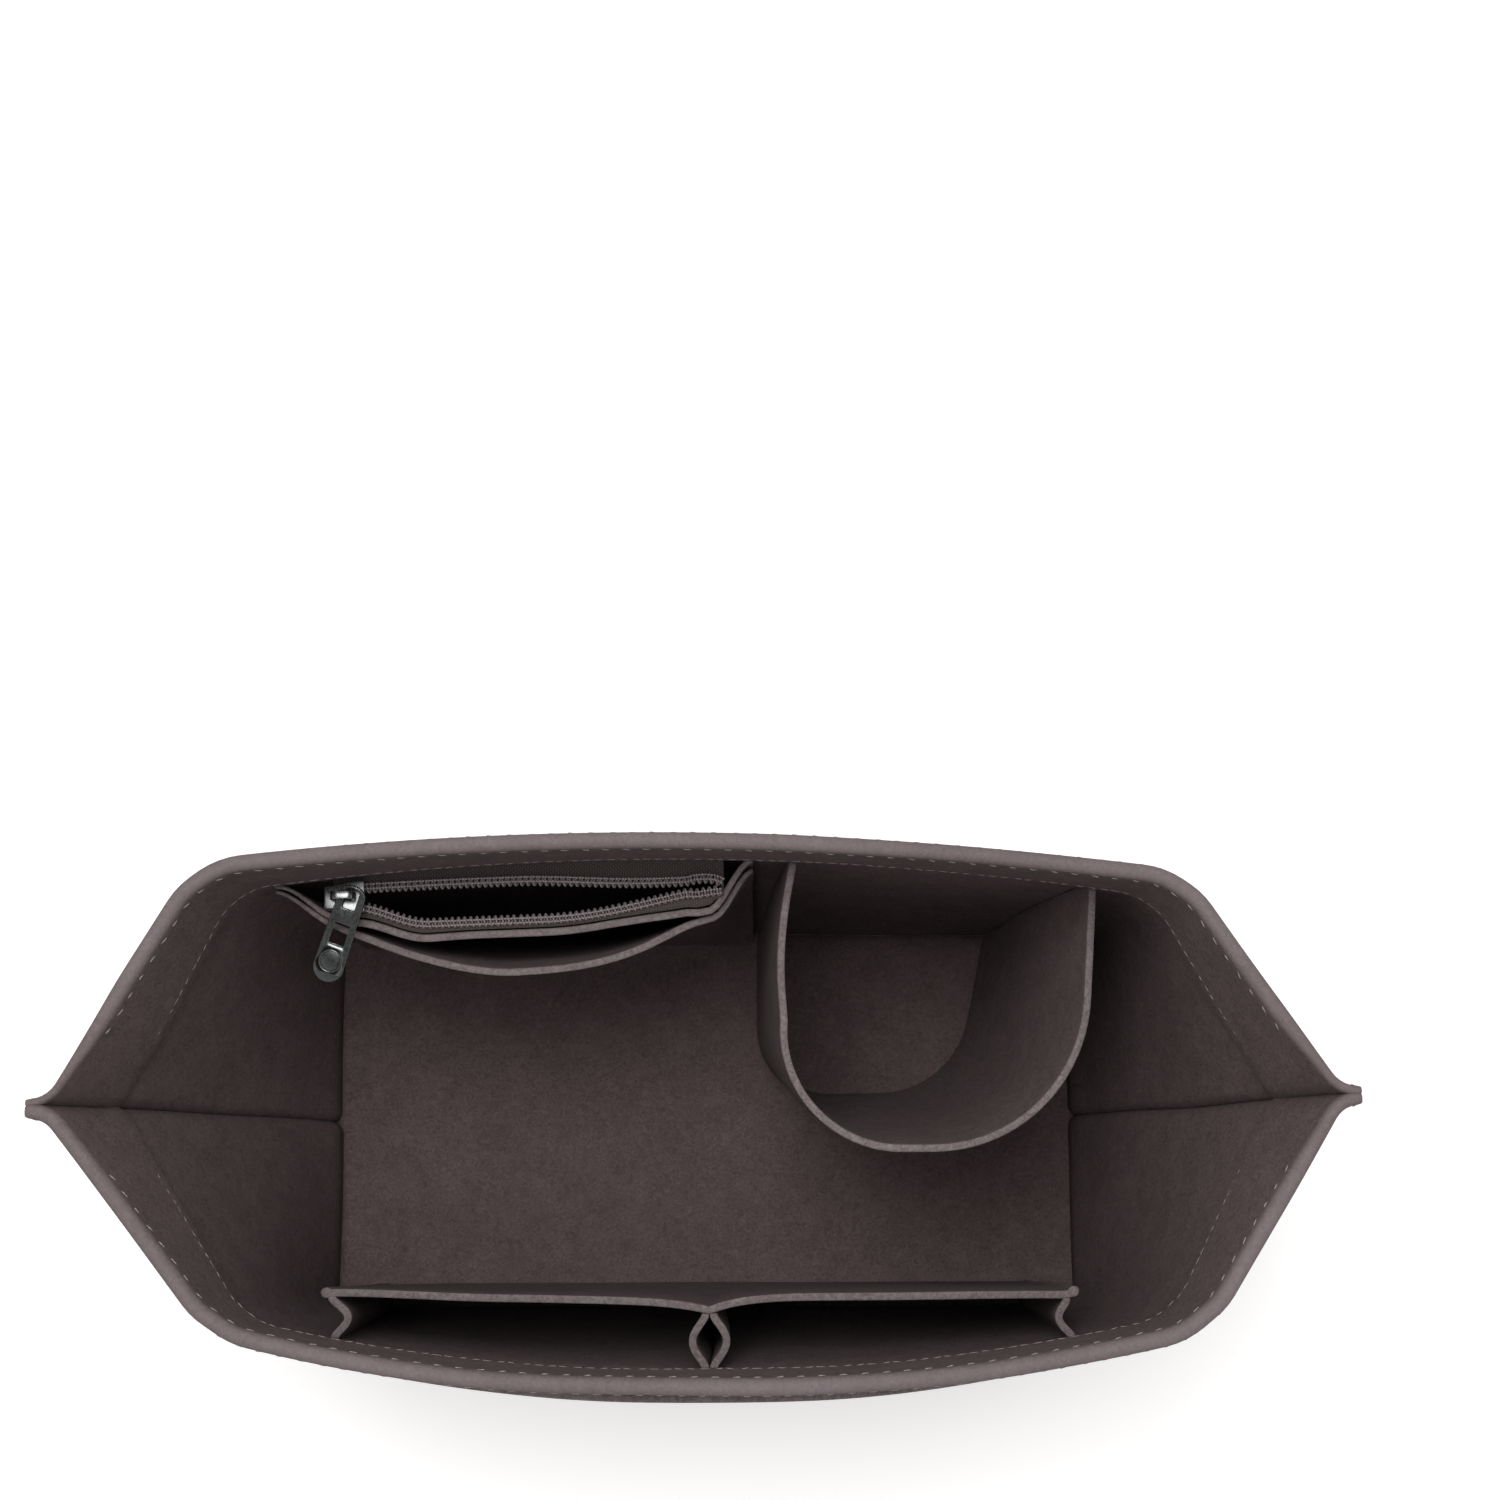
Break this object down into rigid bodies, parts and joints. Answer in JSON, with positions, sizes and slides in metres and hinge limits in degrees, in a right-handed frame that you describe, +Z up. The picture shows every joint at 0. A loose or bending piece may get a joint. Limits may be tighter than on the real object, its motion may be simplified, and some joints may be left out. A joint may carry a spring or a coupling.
{
  "type": "handbag insert",
  "caption": "Open felt handbag insert with pinched ends, folded hem, zip pocket, slip pocket, bottle loop and divided front pockets.",
  "frame": {"origin": "centre of the floor panel's underside, on the surface that the insert stands on", "axes": "+X along the insert towards its right end, +Y towards the back wall with the zip, +Z up out of the open top"},
  "size_m": [0.369, 0.1592, 0.165],
  "materials": {
    "felt": "matt pressed felt, warm dark taupe grey",
    "tape": "woven zip tape, matt",
    "coil": "nylon monofilament, satin",
    "gunmetal": "dark plated zinc, polished edges",
    "bright": "bright plated steel"
  },
  "bodies": {
    "insert": {"floor_panel": "felt", "body_back_half": "felt", "body_front_half": "felt", "outer_pocket_panel": "felt", "slip_pocket_panel": "felt", "zip_pocket_panel": "felt", "zip_tape_back": "tape", "zip_coil_back": "coil", "bottle_loop": "felt", "front_pocket_panel": "felt", "gusset_left": "felt", "gusset_centre_left": "felt", "gusset_centre_right": "felt", "gusset_right": "felt"},
    "zip_front_edge": {"zip_tape_front": "tape", "zip_coil_front": "coil"},
    "slider": {"slider_body": "gunmetal", "slider_bridge": "bright", "slider_lock_spring": "bright"},
    "puller": {"puller": "gunmetal"}
  },
  "joints": [
    {"name": "zip_slide", "type": "slide", "parent": "insert", "child": "slider", "axis": [0.9995, 0.0307, 0], "range_m": [0, 0.1], "deforming": ["zip_coil_back", "zip_tape_back"]},
    {"name": "zip_edge_draw", "type": "slide", "parent": "insert", "child": "zip_front_edge", "axis": [-0.0307, 0.9995, 0], "range_m": [0, 0.0084], "deforming": ["zip_coil_front", "zip_tape_front"]},
    {"name": "puller_swing", "type": "hinge", "parent": "slider", "child": "puller", "pos_m": [-0.1008, 0.06158, 0.1333], "axis": [-0.9383, 0.346, 0], "range_deg": [0, 36]}
  ],
  "couplings": [
    {"joint": "zip_edge_draw", "follows": "zip_slide", "ratio": 0.084}
  ]
}
